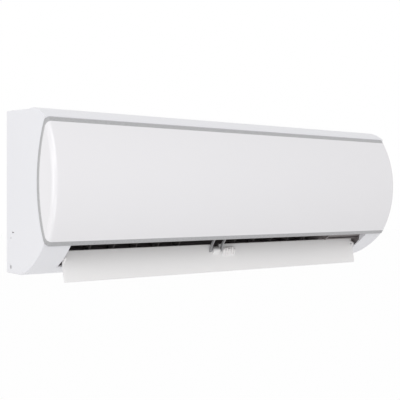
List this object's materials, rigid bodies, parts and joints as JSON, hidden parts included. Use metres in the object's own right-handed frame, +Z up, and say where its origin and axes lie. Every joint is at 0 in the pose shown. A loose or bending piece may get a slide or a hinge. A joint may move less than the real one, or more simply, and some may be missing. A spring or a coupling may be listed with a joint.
{
  "type": "mini split indoor unit",
  "caption": "Wall-hung air conditioner indoor unit with a curved hinged front panel, an open air louver, swinging air vanes, a cross-flow fan, a coil and a wall plate.",
  "frame": {"origin": "middle of the wall plate's four screw holes, on the wall's surface", "axes": "+X along the unit to the right seen from the front, +Y into the wall, +Z up"},
  "size_m": [0.8, 0.2029, 0.297],
  "materials": {
    "shell_white": "satin moulded plastic",
    "panel_white": "gloss moulded plastic",
    "trim_silver": "silver-grey paint",
    "louver_white": "satin moulded plastic",
    "inner_dark": "black moulded plastic",
    "duct_dark": "dark moulded plastic",
    "pan_dark": "dark moulded plastic",
    "vane_dark": "black moulded plastic",
    "fan_plastic": "glass-filled plastic",
    "frame_grey": "moulded plastic",
    "net_grey": "fine woven net",
    "fin_aluminium": "bare fins",
    "zinc_steel": "zinc-coated sheet",
    "copper": "bare copper tube",
    "shaft_steel": "ground steel",
    "rubber_black": "moulded rubber",
    "motor_grey": "painted steel can",
    "box_white": "moulded plastic",
    "board_green": "coated circuit board",
    "terminal_cream": "moulded plastic",
    "button_white": "moulded plastic",
    "stepper_steel": "plated can"
  },
  "bodies": {
    "body": {"front_casing": "shell_white", "top_grille": "shell_white", "louver_bracket": "inner_dark", "louver_pin": "shaft_steel", "louver_motor": "stepper_steel", "chassis": "duct_dark", "drain_pan": "pan_dark", "drain_plug": "rubber_black", "fan_bearing": "rubber_black", "bearing_seat": "inner_dark", "fan_motor": "motor_grey", "motor_rings": "rubber_black", "motor_clamp": "inner_dark", "coil_lower": "fin_aluminium", "coil_upper": "fin_aluminium", "coil_rear": "fin_aluminium", "coil_plate_left": "zinc_steel", "coil_plate_right": "zinc_steel", "coil_tube": "copper", "coil_sensor": "copper", "filter_left": "frame_grey", "filter_right": "frame_grey", "filter_net_left": "net_grey", "filter_net_right": "net_grey", "control_box": "box_white", "control_box_cover": "zinc_steel", "control_board": "board_green", "terminal_block": "terminal_cream", "terminal_cover": "shell_white", "button_switch": "inner_dark", "display_board": "board_green", "wall_plate": "zinc_steel", "gas_pipe": "copper", "liquid_pipe": "copper", "side_screws": "zinc_steel"},
    "panel": {"front_panel": "panel_white", "panel_trim": "trim_silver"},
    "louver": {"louver": "louver_white", "louver_shaft": "shaft_steel"},
    "fan": {"fan_wheel": "fan_plastic", "fan_stub_shaft": "shaft_steel", "motor_shaft": "shaft_steel"},
    "button": {"manual_button": "button_white"},
    "link_left": {"vane_link_left": "vane_dark"},
    "link_right": {"vane_link_right": "vane_dark"},
    "vane_1": {"vane_1": "vane_dark"},
    "vane_2": {"vane_2": "vane_dark"},
    "vane_3": {"vane_3": "vane_dark"},
    "vane_4": {"vane_4": "vane_dark"},
    "vane_5": {"vane_5": "vane_dark"},
    "vane_6": {"vane_6": "vane_dark"},
    "vane_7": {"vane_7": "vane_dark"},
    "vane_8": {"vane_8": "vane_dark"},
    "vane_9": {"vane_9": "vane_dark"},
    "vane_10": {"vane_10": "vane_dark"},
    "vane_11": {"vane_11": "vane_dark"}
  },
  "joints": [
    {"name": "panel_lift", "type": "hinge", "parent": "body", "child": "panel", "pos_m": [0, -0.158, 0.119], "axis": [-1, 0, 0], "range_deg": [0, 60]},
    {"name": "louver_turn", "type": "hinge", "parent": "body", "child": "louver", "pos_m": [0, -0.12585, -0.1119], "axis": [1, 0, 0], "range_deg": [-114.6, 8]},
    {"name": "fan_spin", "type": "hinge", "parent": "body", "child": "fan", "pos_m": [0, -0.084, -0.03], "axis": [1, 0, 0], "continuous": true},
    {"name": "button_press", "type": "slide", "parent": "body", "child": "button", "axis": [0, 1, 0], "range_m": [0, 0.0015], "stiffness_N_per_m": 400},
    {"name": "vane_1_turn", "type": "hinge", "parent": "body", "child": "vane_1", "pos_m": [-0.334, -0.08415, -0.10553], "axis": [0, -0.6347, 0.7727], "range_deg": [-35, 35]},
    {"name": "vane_2_turn", "type": "hinge", "parent": "body", "child": "vane_2", "pos_m": [-0.287, -0.08415, -0.10553], "axis": [0, -0.6347, 0.7727], "range_deg": [-35, 35]},
    {"name": "vane_3_turn", "type": "hinge", "parent": "body", "child": "vane_3", "pos_m": [-0.24, -0.08415, -0.10553], "axis": [0, -0.6347, 0.7727], "range_deg": [-35, 35]},
    {"name": "vane_4_turn", "type": "hinge", "parent": "body", "child": "vane_4", "pos_m": [-0.193, -0.08415, -0.10553], "axis": [0, -0.6347, 0.7727], "range_deg": [-35, 35]},
    {"name": "vane_5_turn", "type": "hinge", "parent": "body", "child": "vane_5", "pos_m": [-0.146, -0.08415, -0.10553], "axis": [0, -0.6347, 0.7727], "range_deg": [-35, 35]},
    {"name": "vane_6_turn", "type": "hinge", "parent": "body", "child": "vane_6", "pos_m": [-0.099, -0.08415, -0.10553], "axis": [0, -0.6347, 0.7727], "range_deg": [-35, 35]},
    {"name": "vane_7_turn", "type": "hinge", "parent": "body", "child": "vane_7", "pos_m": [0.035, -0.08415, -0.10553], "axis": [0, -0.6347, 0.7727], "range_deg": [-35, 35]},
    {"name": "vane_8_turn", "type": "hinge", "parent": "body", "child": "vane_8", "pos_m": [0.082, -0.08415, -0.10553], "axis": [0, -0.6347, 0.7727], "range_deg": [-35, 35]},
    {"name": "vane_9_turn", "type": "hinge", "parent": "body", "child": "vane_9", "pos_m": [0.129, -0.08415, -0.10553], "axis": [0, -0.6347, 0.7727], "range_deg": [-35, 35]},
    {"name": "vane_10_turn", "type": "hinge", "parent": "body", "child": "vane_10", "pos_m": [0.176, -0.08415, -0.10553], "axis": [0, -0.6347, 0.7727], "range_deg": [-35, 35]},
    {"name": "vane_11_turn", "type": "hinge", "parent": "body", "child": "vane_11", "pos_m": [0.223, -0.08415, -0.10553], "axis": [0, -0.6347, 0.7727], "range_deg": [-35, 35]},
    {"name": "link_left_turn", "type": "hinge", "parent": "vane_1", "child": "link_left", "pos_m": [-0.334, -0.07333, -0.09664], "axis": [0, -0.6347, 0.7727], "range_deg": [-35, 35]},
    {"name": "link_right_turn", "type": "hinge", "parent": "vane_7", "child": "link_right", "pos_m": [0.035, -0.07333, -0.09664], "axis": [0, -0.6347, 0.7727], "range_deg": [-35, 35]}
  ],
  "couplings": [
    {"joint": "vane_2_turn", "follows": "vane_1_turn", "ratio": 1},
    {"joint": "vane_3_turn", "follows": "vane_1_turn", "ratio": 1},
    {"joint": "vane_4_turn", "follows": "vane_1_turn", "ratio": 1},
    {"joint": "vane_5_turn", "follows": "vane_1_turn", "ratio": 1},
    {"joint": "vane_6_turn", "follows": "vane_1_turn", "ratio": 1},
    {"joint": "link_left_turn", "follows": "vane_1_turn", "ratio": -1},
    {"joint": "vane_8_turn", "follows": "vane_7_turn", "ratio": 1},
    {"joint": "vane_9_turn", "follows": "vane_7_turn", "ratio": 1},
    {"joint": "vane_10_turn", "follows": "vane_7_turn", "ratio": 1},
    {"joint": "vane_11_turn", "follows": "vane_7_turn", "ratio": 1},
    {"joint": "link_right_turn", "follows": "vane_7_turn", "ratio": -1}
  ]
}
